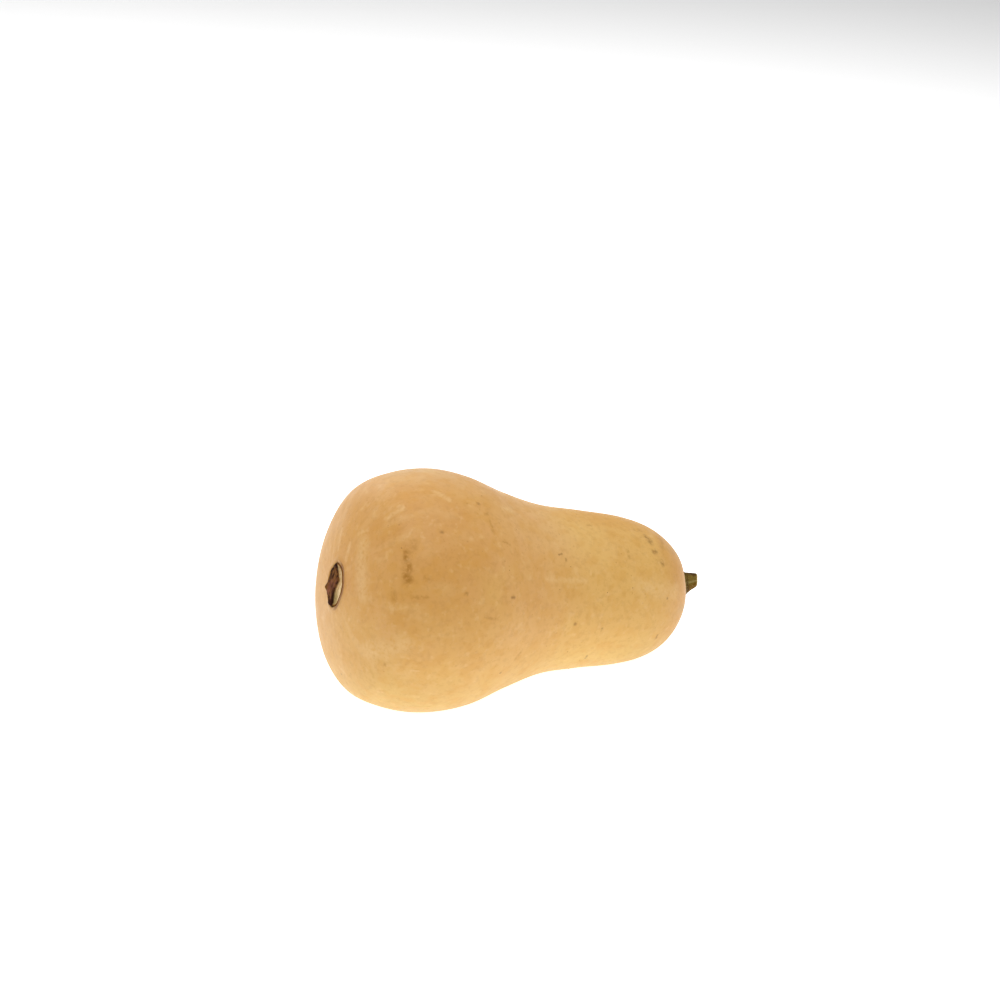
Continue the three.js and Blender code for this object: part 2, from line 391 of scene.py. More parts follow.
def fruit_tree():
    tree, given, leave = geometry_group("squash_fruit", {
        **turned_inputs(rings=236, segments=405, crowding=0.8),
        "Length": ("Float", FRUIT_LENGTH),
        "Rib Count": ("Int", RIB_COUNT),
        "Rib Depth": ("Float", RIB_DEPTH),
        "Arch": ("Float", AXIS_ARCH),
        "Sway": ("Float", AXIS_SWAY),
        "Tilt": ("Float", REST_TILT),
        "Lump Size": ("Float", LUMP_SIZE),
        "Lump Height": ("Float", LUMP_HEIGHT),
        "Seed": ("Float", 3.0),
        "Material": ("Material", None),
    })
    body = turned_from(tree, given)

    # ribs on both shoulders, and the dimple that the stem stands in
    along, out_y, out_z = split(growth_here(tree))
    share = along / given["Length"]
    blossom_shoulder = (share - SHOULDER_REACH).bell(SHOULDER_REACH)
    stem_shoulder = (1 - share - SHOULDER_REACH).bell(SHOULDER_REACH)
    ribs = (given["Rib Count"] * out_z.angle(out_y)).cos()
    swell = given["Rib Depth"] * (blossom_shoulder + stem_shoulder) * ribs + 1
    x, y, z = split(position_here(tree))
    y, z = y * swell, z * swell
    near_stem = share.calculate("GREATER_THAN", 0.5)
    x = x - near_stem * DIMPLE_DEPTH * y.hypot(z - STEM_RISE).bell(DIMPLE_REACH)

    # the bent axis, with each ring square to it, and then the tilt
    half_turn = share * math.pi
    slope = given["Arch"] * half_turn.cos() - given["Sway"] * 2 * (half_turn * 2).cos()
    x = x - z * slope * math.pi / given["Length"]
    z = z + given["Arch"] * half_turn.sin() - given["Sway"] * (half_turn * 2).sin()
    cosine, sine = given["Tilt"].cos(), given["Tilt"].sin()
    body = reshape(
        body,
        x * cosine + z * sine + BLOSSOM_POLE.x,
        y + BLOSSOM_POLE.y,
        z * cosine - x * sine + BLOSSOM_POLE.z,
    )

    # broad shallow lumps away from both ends, and low buttresses round the stem
    outwards, across, up = measured_in(stem_place, position_here(tree))
    from_stem = across.hypot(up)
    at_stem = outwards.ramp(-40 * MM, -20 * MM)
    ridges = (STEM_RIDGES * up.angle(across)).cos() * -1
    buttress = at_stem * ridges * from_stem.bell(BUTTRESS_REACH) * BUTTRESS_HEIGHT
    away = along.ramp(8 * MM, 40 * MM) * along.ramp(FRUIT_LENGTH - 4 * MM, FRUIT_LENGTH - 30 * MM)
    lumps = 0.5 - noise_at(tree, position_here(tree), given["Lump Size"], 1.0, given["Seed"])
    body = push(body, away * lumps * 2 * given["Lump Height"] + buttress - SKIN_MARGIN)

    # the scar's recess, with a rolled rim
    outwards, across, up = measured_in(scar_place, position_here(tree))
    reach = scar_reach(across, up)
    at_scar = outwards.ramp(-30 * MM, -15 * MM)
    recess = reach.ramp(1.07, 1.0) * RECESS_DEPTH - (reach - 1.2).bell(0.14) * RIM_ROLL
    body = push(body, at_scar * recess * -1, scar_place.col[0].to_3d())

    # the flats that bulb and neck rest on
    x, y, z = split(position_here(tree))
    body = reshape(body, x, y, z.calculate("SMOOTH_MAX", 0.0, FLAT_EDGE))
    finished(body, given["Material"], leave)
    return tree


def paint(code):
    """A colour from its screen code, as the linear values that shaders use."""
    linear = []
    for shift in (16, 8, 0):
        part = (code >> shift & 255) / 255
        linear.append(part / 12.92 if part <= 0.04045 else ((part + 0.055) / 1.055) ** 2.4)
    return (*linear, 1.0)


def coats(tree, colour, *layers):
    """A colour with tints laid over it, the first one lowest, each by its own mask. Inputs 6
    and 7 and output 2 of a Mix node are the ones for colours."""
    for mask, tint in layers:
        node = add_node(tree, "ShaderNodeMix", {"data_type": "RGBA"})
        plug(node.inputs[0], mask)
        plug(node.inputs[6], colour)
        plug(node.inputs[7], tint)
        colour = node.outputs[2]
    return colour


def mottle_group():
    """Cloudy patches of a given size, cut between two levels of the noise."""
    tree, given, leave = new_group("mottle", "ShaderNodeTree", {
        "Position": ("Vector", None),
        "Size": ("Float", 10 * MM),
        "Seed": ("Float", 0.0),
        "Detail": ("Float", 3.0),
        "Low": ("Float", 0.4),
        "High": ("Float", 0.6),
    }, {"Patches": ("Float", None)})
    cloud = noise_at(tree, given["Position"], given["Size"], given["Detail"], given["Seed"])
    plug(leave.inputs[0], cloud.ramp(given["Low"], given["High"]))
    return tree


def pores_group():
    """Small pits spread at random, as a mask and as a height in metres."""
    tree, given, leave = new_group("pores", "ShaderNodeTree", {
        "Position": ("Vector", None),
        "Spacing": ("Float", 2 * MM),
        "Width": ("Float", 0.3),
        "Share": ("Float", 0.5),
        "Depth": ("Float", 0.05 * MM),
    }, {"Mask": ("Float", None), "Height": ("Float", None)})
    cells = add_node(
        tree, "ShaderNodeTexVoronoi", Vector=given["Position"], Scale=1 / given["Spacing"]
    )
    draw, _, _ = split(cells.outputs["Color"])
    present = draw.calculate("LESS_THAN", given["Share"])
    pit = Field(cells.outputs["Distance"]).ramp(given["Width"], given["Width"] * 0.4) * present
    plug(leave.inputs["Mask"], pit)
    plug(leave.inputs["Height"], pit * given["Depth"] * -1)
    return tree


NO_LENGTH = 1e-10  # square metres, added so that a mark may start and end at one place


def blemish_group():
    """One soft mark along a line from one place to another."""
    tree, given, leave = new_group("blemish", "ShaderNodeTree", {
        "Position": ("Vector", None),
        "From": ("Vector", None),
        "To": ("Vector", None),
        "Width": ("Float", 1 * MM),
    }, {"Mask": ("Float", None)})
    start = given["From"].socket
    line = vector_math("SUBTRACT", given["To"].socket, start).outputs[0]
    reach = vector_math("SUBTRACT", given["Position"].socket, start).outputs[0]
    share = dot(reach, line) / (dot(line, line) + NO_LENGTH)
    share = share.larger(0.0).calculate("MINIMUM", 1.0)
    nearest = scaled(tree, line, share)
    distance = Field(vector_math("DISTANCE", reach, nearest).outputs["Value"])
    plug(leave.inputs[0], (distance / given["Width"]).ramp(1.15, 0.0))
    return tree


turned_body_tree = turned_body()
mottle = mottle_group()
pores = pores_group()
blemish = blemish_group()


def use_group(tree, group, **inputs):
    return add_node(tree, "ShaderNodeGroup", {"node_tree": group}, **inputs)


def mask_from(tree, group, **inputs):
    """The first output of a group, as a field."""
    return Field(use_group(tree, group, **inputs).outputs[0])


def patches(tree, position, size, seed, low=0.4, high=0.6, detail=3.0):
    return mask_from(
        tree, mottle, Position=position, Size=size, Seed=seed, Detail=detail, Low=low, High=high
    )


def strewn_pores(tree, position, spacing, width, share, depth):
    """The mask and the height of the pores, as fields."""
    node = use_group(
        tree, pores, Position=position, Spacing=spacing, Width=width, Share=share, Depth=depth
    )
    return [Field(out) for out in node.outputs]


def new_finish(name):
    """A material, its tree, its shader and its object coordinates."""
    finish = bpy.data.materials.new(name)
    finish.use_nodes = True
    tree = finish.node_tree
    shader = tree.nodes["Principled BSDF"]
    position = tree.nodes.new("ShaderNodeTexCoord").outputs["Object"]
    return finish, tree, shader, position


def dress(shader, colour, roughness, specular, height):
    """Gives a shader its looks, with a bump height in metres."""
    bump = add_node(shader.id_data, "ShaderNodeBump", Strength=1.0, Distance=1.0, Height=height)
    plug(shader.inputs["Base Color"], colour)
    plug(shader.inputs["Roughness"], roughness)
    plug(shader.inputs["Specular IOR Level"], specular)
    plug(shader.inputs["Normal"], bump.outputs[0])


def attribute(tree, name, output="Vector"):
    return add_node(tree, "ShaderNodeAttribute", {"attribute_name": name}).outputs[output]


TAN = paint(0xD6A258)
ORANGE_TAN = paint(0xCE964E)
PINK_TAN = paint(0xDCAA6E)
YELLOW_TAN = paint(0xE1B666)
UNDERSIDE_YELLOW = paint(0xCDB66E)
PALE_WAX = paint(0xE6C084)
PAINTED_SHEEN = paint(0xE8D0AC)
PORE_BROWN = paint(0xB07A34)
DEEP_GOLD = paint(0xD0963E)
OLIVE = paint(0x8E7434)
VEIN_GREEN = paint(0x5F6A2C)
BRUISE_BROWN = paint(0x9C6400)
SPOT_BROWN = paint(0x724000)
RIM_BROWN_AND_SHADE = paint(0x7E4800)
SCAR_HAZE = paint(0x9C6C40)
STRAY_SIZE = 1.6 * MM  # marks have an edge that strays on this scale


def grown_skin(tree, position, along, out_y, out_z):
    """The rind's own colour and tints, with a painted sheen and painted shade laid over them."""
    # broad drifts of warmer and paler skin
    warmer = patches(tree, position, 55 * MM, 1.0, 0.35, 0.65)
    pinker = patches(tree, position, 32 * MM, 2.0, 0.45, 0.75)
    yellower = patches(tree, position, 24 * MM, 3.0, 0.5, 0.8)

    # the neck is paler than the bulb, and the underside is yellower
    neck = along.ramp(85 * MM, 130 * MM) * along.ramp(182 * MM, 160 * MM)
    low = out_z.ramp(0.45, -0.3)
    belly = out_z.ramp(0.0, -0.8) * along.ramp(2 * MM, 24 * MM)

    # a painted whitish sheen on top, painted shade on the shoulder, the neck and the blossom end,
    # and olive low on the neck
    bulb_top_sheen = (out_z * 0.95 + out_y * 0.31).ramp(0.8, 1.0) * (along - 40 * MM).bell(28 * MM)
    waist_top_sheen = (out_z * 0.97 - out_y * 0.26).ramp(0.85, 1.0) * (along - 100 * MM).bell(34 * MM)
    shaded_shoulder = (out_z * 0.82 - out_y * 0.57).ramp(0.6, 1.0) * (along - 30 * MM).bell(26 * MM)
    shaded_neck_top = (out_z * 0.94 + out_y * 0.34).ramp(0.75, 1.0) * along.ramp(95 * MM, 150 * MM)
    shaded_neck_end = along.ramp(165 * MM, 190 * MM)
    shaded_blossom_end = along.ramp(30 * MM, 6 * MM) * out_y.ramp(-0.4, 0.3)
    low_side = out_y.ramp(-0.2, -0.7) * out_z.ramp(0.3, -0.2) * along.ramp(140 * MM, 165 * MM)

    return coats(
        tree, TAN,
        (warmer, ORANGE_TAN),
        (pinker * 0.6, PINK_TAN),
        (yellower * 0.5, YELLOW_TAN),
        (neck * 0.6, YELLOW_TAN),
        (low * 0.3, YELLOW_TAN),
        (belly * 0.5, UNDERSIDE_YELLOW),
        # painted whitish sheen on the tops of bulb and waist
        (bulb_top_sheen * 0.32 + waist_top_sheen * 0.09, PAINTED_SHEEN),
        # painted shade, deeper tan and gold, on the near shoulder, the neck's top and end, and the
        # far side of the blossom end
        (shaded_shoulder * 0.75, ORANGE_TAN),
        (shaded_neck_top * 0.6, DEEP_GOLD),
        (shaded_neck_end * 0.5, DEEP_GOLD),
        (shaded_blossom_end * 0.5, DEEP_GOLD),
        (low_side * 0.12, OLIVE),
    )


def round_stem(tree, colour, position):
    """Green veins that run out from the stem's ridges, and an olive flush round its foot."""
    outwards, across, up = measured_in(stem_place, position)
    from_stem = across.hypot(up)
    wander = (patches(tree, position, 9 * MM, 6.0, 0.3, 0.7) - 0.5) * 0.5
    half_wave = up.angle(across) * STEM_RIDGES / 2 + math.pi / 2 + wander
    ridge_line = half_wave.sin().calculate("ABSOLUTE").ramp(0.45, 0.0)
    near = outwards.ramp(-45 * MM, -25 * MM)
    vein = ridge_line * from_stem.ramp(34 * MM, 9 * MM) * near
    flush = from_stem.ramp(17 * MM, 8 * MM) * near
    return coats(tree, colour, (flush * 0.45, OLIVE), (vein * 0.6, VEIN_GREEN))


def round_scar(tree, colour, position):
    """The haze round the scar, and a dark brown line at its rim that is partly painted shade of the
    gap between rind and scar.
    """
    outwards, across, up = measured_in(scar_place, position)
    reach = scar_reach(across, up)
    near = outwards.ramp(-45 * MM, -25 * MM)
    haze = reach.ramp(1.6, 1.02) * near * patches(tree, position, 5 * MM, 7.0, 0.3, 0.6)
    # a brown line on the recess's wall and a wider band on the near side, partly painted shade of
    # the gap
    edge = reach.ramp(1.05, 1.02) * near
    lip = reach.ramp(1.3, 1.2) * across.ramp(0, 4 * MM) * near
    return coats(
        tree, colour, (haze * 0.25, SCAR_HAZE), (edge * 0.8, RIM_BROWN_AND_SHADE), (lip * 0.75, RIM_BROWN_AND_SHADE)
    )


def marked(tree, colour, position, skin_marks):
    """Bruises, scuffs and corky spots, each at its own place, with ragged edges."""
    stray = add_node(tree, "ShaderNodeTexNoise", Vector=position, Scale=1 / STRAY_SIZE, Detail=3.0)
    sideways = vector_math("SUBTRACT", stray.outputs["Color"], (0.5, 0.5, 0.5)).outputs[0]
    worn = patches(tree, position, 1.8 * MM, 9.0, 0.25, 0.6)
    for tint, strength, stray_reach, marks in skin_marks:
        moved = scaled(tree, sideways, stray_reach)
        place = vector_math("ADD", position, moved).outputs[0]
        covered = None
        for start, end, width in marks:
            mask = mask_from(tree, blemish, Position=place, From=start, To=end, Width=width)
            covered = mask if covered is None else covered.larger(mask)
        colour = coats(tree, colour, (covered * worn * strength, tint))
    return colour


def rind_finish(skin_marks):
    finish, tree, shader, position = new_finish("rind_wax")
    along, out_y, out_z = split(attribute(tree, "growth"))

    # faint streaks that run from end to end, finer towards the blossom end
    streak_place = join(tree, along * 9, out_y * 0.9, out_z * 0.9)
    streaks = patches(tree, streak_place, 0.13, 4.0, 0.45, 0.75)
    streaks = streaks * (along.ramp(70 * MM, 20 * MM) * 0.15 + 0.08)

    # fine pores, and small clouded flecks
    fine, fine_height = strewn_pores(tree, position, 1.7 * MM, 0.32, 0.45, 0.03 * MM)
    coarse, coarse_height = strewn_pores(tree, position, 6.5 * MM, 0.1, 0.4, 0.08 * MM)
    colour = coats(
        tree, grown_skin(tree, position, along, out_y, out_z),
        (streaks, PALE_WAX),
        (fine * 0.13, PORE_BROWN),
        (coarse * 0.35, PORE_BROWN),
        (patches(tree, position, 4 * MM, 5.0, 0.54, 0.72) * 0.28, PALE_WAX),
        (patches(tree, position, 2.2 * MM, 10.0, 0.45, 0.7) * 0.2, PORE_BROWN),
        (patches(tree, position, 6 * MM, 11.0, 0.45, 0.65, 2.0) * 0.3, DEEP_GOLD),
    )
    colour = round_stem(tree, colour, position)
    colour = round_scar(tree, colour, position)
    colour = marked(tree, colour, position, skin_marks)
    gloss = patches(tree, position, 12 * MM, 8.0, 0.3, 0.7) * 0.1 + 0.42
    peel = noise_at(tree, position, 1.1 * MM) * 0.05 * MM
    peel = peel + noise_at(tree, position, 7 * MM) * 0.16 * MM
    grain = noise_at(tree, streak_place, 0.02, 3.0) * 0.06 * MM
    dress(shader, colour, gloss + fine * 0.15, 0.32, peel + grain + (fine_height + coarse_height))
    return finish


outline = outline_curve("fruit_outline", FRUIT_OUTLINE)
rind = grown("rind", fruit_tree(), Outline=outline)
bpy.data.objects.remove(outline)


def skin_point(along, turn):
    """The place on the rind at a distance from the blossom end, in millimetres, and a turn
    about the axis, in degrees, with 0 towards +Y and 90 upwards."""
    sought = Vector((along * MM, math.cos(math.radians(turn)), math.sin(math.radians(turn))))
    weight = Vector((1, 50 * MM, 50 * MM))
    growth = rind.data.attributes["growth"].data

    def distance(i):
        return ((growth[i].vector - sought) * weight).length_squared

    return rind.data.vertices[min(range(len(growth)), key=distance)].co.copy()


# Each mark runs from one place on the rind to another, given as a distance along and a
# turn, and has a width in millimetres.
BRUISES = [
    ((17, 134), (17, 137), 1.6), ((17.5, 140.5), (18, 143.5), 1.8), ((17, 146), (18, 148), 2.8),
]
RUSTS = [((12, 102), (10, 118), 1.9), ((8, 104), (7, 119), 2.2)]
SMUDGES = [
    ((62, 114), (64, 113), 1.3), ((64, 118), (64, 124), 1.4), ((70, 128), (73, 129), 0.9),
    ((156, 100), (158, 99), 1.9), ((145, 122), (145, 129), 1.2), ((56, 165), (62, 166), 1.2),
    ((81, 192), (82, 188), 1.5), ((15, 199), (15, 199), 1.3), ((172, 90), (169, 112), 2.6),
    ((128, 102), (129, 102), 1.4), ((21, 128), (20, 132), 2.6), ((18, 133), (17, 150), 3.4),
    ((19, 157), (27, 157), 1.4), ((25, 147), (26, 148), 2.2), ((13, 156), (13, 159), 2.8),
]
SPOTS = [
    ((60, 108), (60, 108), 1.6), ((35, 125), (35, 125), 1.4), ((160, 106), (160, 104), 1.6),
    ((161, 108), (162, 111), 2.5), ((162, 120), (163.5, 119.7), 2.0), ((166, 128), (166, 130), 2.0),
    ((114, 176), (114, 176), 1.5), ((131, 182), (131, 183), 1.2), ((168, 191), (169, 194), 1.0),
    ((71, 156), (73, 156), 1.1), ((45, 154), (45, 154), 1.4), ((73, 198), (73, 198), 1.0),
    ((107, 129), (105, 130), 0.8), ((109, 133), (109, 134), 0.8), ((129, 208), (129, 212), 0.9),
    ((169, 158), (169, 158), 1.1), ((10, 248), (10, 247), 0.9),
]
SCUFFS = [
    ((7, 104), (5, 99), 1.5), ((3, 95), (2, 106), 2.0), ((4, 62), (2, 68), 1.6),
    ((19, 108), (13, 109), 2.2), ((38, 100), (43, 107), 2.2), ((77, 106), (82, 104), 3.4),
    ((26, 196), (30, 195), 0.9), ((19, 221), (20, 219), 1.4), ((96, 146), (118, 147), 2.2),
    ((122, 140), (122, 143), 1.0), ((8, 246), (10, 241), 1.9), ((5, 112), (4.5, 160), 6.5),
    ((153, 150), (173, 152), 7.0), ((9, 200), (19, 183), 7.0),
]
BLUSHES = [
    ((10, 52), (13, 57), 4.0), ((58, 99), (66, 98), 4.0), ((79, 142), (79, 142), 3.5),
    ((92, 103), (96, 105), 5.0), ((25, 79), (42, 83), 5.0), ((66, 88), (84, 84), 4.5),
    ((8, 170), (12, 178), 8.0),
]


def on_skin(marks):
    return [(skin_point(*start), skin_point(*end), width * MM) for start, end, width in marks]


rind_wax = rind_finish([
    (PINK_TAN, 0.4, 3 * MM, on_skin(BLUSHES)),
    (PALE_WAX, 0.45, 2 * MM, on_skin(SCUFFS)),
    (ORANGE_TAN, 0.5, 2 * MM, on_skin(RUSTS)),
    (BRUISE_BROWN, 0.35, 2 * MM, on_skin(SMUDGES)),
    (BRUISE_BROWN, 0.68, 1.5 * MM, on_skin(BRUISES)),
    (SPOT_BROWN, 0.55, 0.9 * MM, on_skin(SPOTS)),
])
rind.data.materials.append(rind_wax)
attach(rind, "root")
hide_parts("fruit")


# ---------------------------------------------------------------------------------------
# Corky specks on the rind
# Pores of the young fruit that healed over as it swelled: low brown buttons of cork,
# half a millimetre or so across, grown on the skin wherever it was grazed.
# ---------------------------------------------------------------------------------------

SPECK_SIZE = (0.2 * MM, 0.42 * MM)  # smallest and largest radius
SPECK_SPAN = (12 * MM, 185 * MM)  # the stretch of the fruit that has them
SPECK_SPACING = 5 * MM
SPECK_DENSITY = 1000.0  # to the square metre
SPECK_FLATNESS = 0.35
BARE_HEIGHT = 3 * MM  # none grows nearer the ground than this
SLIMMEST = 0.65  # the width of the slimmest button, as a share of its length
OVAL_SEED = 7
SPECK_BROWN = paint(0xA07030)
SPECK_PALE = paint(0xC8985A)


def random_between(tree, low, high, seed):
    """A number for each point. Inputs 2 and 3 and output 1 of the node are for numbers."""
    node = add_node(tree, "FunctionNodeRandomValue", {"data_type": "FLOAT"}, Seed=seed)
    plug(node.inputs[2], low)
    plug(node.inputs[3], high)
    return Field(node.outputs[1])


def scattered_buttons():
    """Low round buttons strewn over a surface, between two distances along its growth."""
    tree, given, leave = geometry_group("scattered_buttons", {
        "Surface": ("Object", None),
        "Density": ("Float", 1000.0),
        "Spacing": ("Float", 1 * MM),
        "From": ("Float", 0.0),
        "To": ("Float", 1.0),
        "Smallest": ("Float", 0.2 * MM),
        "Largest": ("Float", 0.5 * MM),
        "Flatness": ("Float", 0.4),
        "Seed": ("Int", 1),
        "Material": ("Material", None),
    })
    surface = add_node(tree, "GeometryNodeObjectInfo", Object=given["Surface"])
    along, _, _ = split(growth_here(tree))
    _, _, height = split(position_here(tree))
    past_start = along.calculate("GREATER_THAN", given["From"])
    before_end = along.calculate("LESS_THAN", given["To"])
    clear_of_ground = height.calculate("GREATER_THAN", BARE_HEIGHT)
    spread = add_node(
        tree, "GeometryNodeDistributePointsOnFaces", {"distribute_method": "POISSON"},
        Mesh=surface.outputs["Geometry"], Distance_Min=given["Spacing"],
        Density_Max=given["Density"], Seed=given["Seed"],
        Density_Factor=past_start * before_end * clear_of_ground,
    )
    button = add_node(tree, "GeometryNodeMeshUVSphere", Segments=8, Rings=5, Radius=1.0)
    length = random_between(tree, given["Smallest"], given["Largest"], given["Seed"])
    width = length * random_between(tree, SLIMMEST, 1.0, OVAL_SEED)
    buttons = add_node(
        tree, "GeometryNodeInstanceOnPoints",
        Points=spread.outputs["Points"], Instance=button.outputs["Mesh"],
        Rotation=spread.outputs["Rotation"],
        Scale=join(tree, length, width, length * given["Flatness"]),
    )
    finished(buttons.outputs[0], given["Material"], leave)
    return tree


def cork_finish(name, deep, high, size, weathered=None):
    """Mottled cork; weathered is a group that gives a mask, and the colour it lays on."""
    finish, tree, shader, position = new_finish(name)
    colour = coats(tree, deep, (patches(tree, position, size, 1.0, 0.35, 0.65), high))
    if weathered:
        group, tint = weathered
        colour = coats(tree, colour, (mask_from(tree, group, Position=position) * 0.9, tint))
    roughness = patches(tree, position, size, 2.0) * 0.1 + 0.8
    dress(shader, colour, roughness, 0.5, noise_at(tree, position, 0.3 * MM) * 0.05 * MM)
    return finish


buttons_tree = scattered_buttons()
rind_specks = grown(
    "rind_specks", buttons_tree, Surface=rind, Density=SPECK_DENSITY, Spacing=SPECK_SPACING,
    From=SPECK_SPAN[0], To=SPECK_SPAN[1], Smallest=SPECK_SIZE[0], Largest=SPECK_SIZE[1],
    Flatness=SPECK_FLATNESS, Seed=4,
    Material=cork_finish("speck_cork", SPECK_BROWN, SPECK_PALE, 9 * MM),
)
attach(rind_specks, "root")


# ---------------------------------------------------------------------------------------
# Stem stub
# The dried stalk of the vine, cut off a centimetre above the fruit: hard ribbed wood with
# five ridges that spread into buttresses, rooted in the rind, with a hollow pith.
# ---------------------------------------------------------------------------------------

STEM_OUTLINE = [  # distance beyond the end of the fruit and radius, in millimetres
    (-6.4, 0), (-6.4, 10.4), (-5.6, 11), (-2, 9.8), (1, 7.5), (4, 5.8), (8, 4.4), (12, 3.42),
    (12.4, 3.22), (12.45, 2.8), (12.1, 1.8), (11.2, 1.1), (11, 0),
]
STEM_LENGTH = 12.5 * MM
CUT_SLANT = 0.5  # the cut's +Y side stands out by this share of its distance across
TIP_RIDGE = 0.06  # ridge height as a share of the radius, at the tip
FOOT_RIDGE = 0.17
FIBRE_COUNT = 31
FIBRE_HEIGHT = 0.09 * MM
STEM_LUMP = 0.3 * MM
STEM_TWIST = math.radians(8)
WART_SIZE = (0.12 * MM, 0.34 * MM)
WART_SPAN = (-4 * MM, 11.2 * MM)
WART_SPACING = 0.8 * MM
WART_DENSITY = 1800000.0  # to the square metre
WART_FLATNESS = 0.55

BARK_OLIVE = paint(0x7C6A2C)
BARK_BROWN = paint(0x6E4C0C)
BARK_GREEN = paint(0x55602A)
CREST_AND_SHADE_BROWN = paint(0x4C300C)
HIGHLIGHT_TAN = paint(0xA8965E)
WART_TAN = paint(0x947A3C)
WART_BROWN = paint(0x745A22)
CUT_TAN = paint(0xB9A271)
PITH_BROWN = paint(0x6B5330)


def stem_tree():
    tree, given, leave = geometry_group("squash_stem", {
        **turned_inputs(rings=150, segments=241, crowding=0.0),
        "Ridges": ("Int", STEM_RIDGES),
        "Foot Ridge": ("Float", FOOT_RIDGE),
        "Tip Ridge": ("Float", TIP_RIDGE),
        "Fibres": ("Int", FIBRE_COUNT),
        "Fibre Height": ("Float", FIBRE_HEIGHT),
        "Lump Height": ("Float", STEM_LUMP),
        "Seed": ("Float", 5.0),
        "Material": ("Material", None),
    })
    body = turned_from(tree, given)

    # round ridges that spread towards the foot, and a slight twist
    along, out_y, out_z = split(growth_here(tree))
    turn = out_z.angle(out_y)
    to_tip = along.ramp(0.0, STEM_LENGTH)
    ridge = given["Foot Ridge"] + to_tip * (given["Tip Ridge"] - given["Foot Ridge"])
    swell = 1 - ridge * ((given["Ridges"] * turn).cos() - (2 * given["Ridges"] * turn).cos() * 0.2)
    x, y, z = split(position_here(tree))
    twist = (to_tip - 0.5) * STEM_TWIST
    body = reshape(
        body,
        x,
        (y * twist.cos() - z * twist.sin()) * swell,
        (y * twist.sin() + z * twist.cos()) * swell,
    )

    # fibres and knobs on the bark, and a ragged saw cut
    bark = along.ramp(-5 * MM, -2 * MM) * along.ramp(STEM_LENGTH, STEM_LENGTH - 1 * MM)
    wander = noise_at(tree, position_here(tree), 3 * MM, 2.0, given["Seed"])
    fibres = (given["Fibres"] * turn + wander * 9).sin() * given["Fibre Height"]
    knobs = (0.5 - noise_at(tree, position_here(tree), 2.6 * MM, 3.0, given["Seed"] + 1)) * 2
    body = push(body, bark * (fibres + knobs * given["Lump Height"]))
    x, y, z = split(position_here(tree))
    at_cut = x.ramp(STEM_LENGTH - 2 * MM, STEM_LENGTH - 0.6 * MM)
    grit = (noise_at(tree, position_here(tree), 0.9 * MM, 3.0, given["Seed"] + 2) - 0.6) * 0.5 * MM
    x = x + at_cut * grit + CUT_SLANT * y * along.ramp(STEM_LENGTH / 3, STEM_LENGTH)

    finished(reshape(body, *set_in(stem_place, x, y, z)), given["Material"], leave)
    return tree


def crest_group():
    """The weathered crest of the stem's uppermost ridge, as a mask."""
    tree, given, leave = new_group(
        "crest", "ShaderNodeTree", {"Position": ("Vector", None)}, {"Mask": ("Float", None)}
    )
    position = given["Position"].socket
    _, across, up = measured_in(stem_place, position)
    facing = (up * 0.97 + across * 0.26) / across.hypot(up)
    wander = noise_at(tree, position, 1.6 * MM, 3.0) - 0.5
    plug(leave.inputs[0], (facing + wander * 0.5).ramp(0.68, 0.92))
    return tree


crest = crest_group()


def bark_finish():
    finish, tree, shader, position = new_finish("stem_bark")
    outwards, across, up = measured_in(stem_place, position)
    along, _, _ = split(attribute(tree, "growth"))
    from_axis = across.hypot(up)
    browner = patches(tree, position, 3.5 * MM, 1.0, 0.35, 0.65)
    groove = (up.angle(across) * STEM_RIDGES).cos().ramp(-0.4, 0.9) * along.ramp(7 * MM, 1 * MM)
    low_side = (up / from_axis).ramp(0.36, 0.05)
    weathered = mask_from(tree, crest, Position=position)
    # a painted highlight: a thin pale streak down the side of the stem that faces the camera
    highlight_streak = ((up * 0.47 - across * 0.88) / from_axis).ramp(0.985, 1.0)
    # painted shade: a dark brown band round the stem near its foot, where it meets the rind
    junction_shade = (outwards - across * 0.43 - 5.3 * MM).bell(0.7 * MM)
    foot = outwards.ramp(4 * MM, 1 * MM)
    drawn_out = join(tree, outwards * 0.2, across * 1.6, up * 1.6)
    lines = patches(tree, drawn_out, 1.1 * MM, 2.0, 0.5, 0.72, 4.0)
    cut = along.ramp(STEM_LENGTH - 0.9 * MM, STEM_LENGTH - 0.4 * MM)
    by_cut = along.ramp(STEM_LENGTH - 3 * MM, STEM_LENGTH - 2 * MM)
    hollow = from_axis.ramp(2.2 * MM, 1.2 * MM) * by_cut
    colour = coats(
        tree, BARK_OLIVE,
        (browner * 0.5, BARK_BROWN),
        (groove * 0.6, BARK_GREEN),
        (low_side * 0.85, BARK_BROWN),
        (weathered * 0.9, CREST_AND_SHADE_BROWN),
        (highlight_streak * 0.7, HIGHLIGHT_TAN),
        (junction_shade * 0.8, CREST_AND_SHADE_BROWN),
        (foot * 0.3, CREST_AND_SHADE_BROWN),
        (lines * 0.4, WART_BROWN),
        (cut * 0.9, CUT_TAN),
        (hollow, PITH_BROWN),
    )
    grain = noise_at(tree, position, 0.5 * MM, 3.0) * 0.08 * MM
    dress(shader, colour, lines * 0.1 + 0.72, 0.06, grain + lines * 0.06 * MM)
    return finish


outline = outline_curve("stem_outline", STEM_OUTLINE)
stem_stub = grown("stem_stub", stem_tree(), Outline=outline, Material=bark_finish())
bpy.data.objects.remove(outline)
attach(stem_stub, "root")
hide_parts("stem")

stem_warts = grown(
    "stem_warts", buttons_tree, Surface=stem_stub, Density=WART_DENSITY, Spacing=WART_SPACING,
    From=WART_SPAN[0], To=WART_SPAN[1], Smallest=WART_SIZE[0], Largest=WART_SIZE[1],
    Flatness=WART_FLATNESS, Seed=2,
    Material=cork_finish("wart_cork", WART_BROWN, WART_TAN, 2 * MM, (crest, CREST_AND_SHADE_BROWN)),
)
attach(stem_warts, "root")


# ---------------------------------------------------------------------------------------
# Blossom scar
# The dry cork that closed the fruit where the flower fell off: a pale margin, a dark
# wrinkled crust that stands up inside it, and the withered stump of the style.
# ---------------------------------------------------------------------------------------

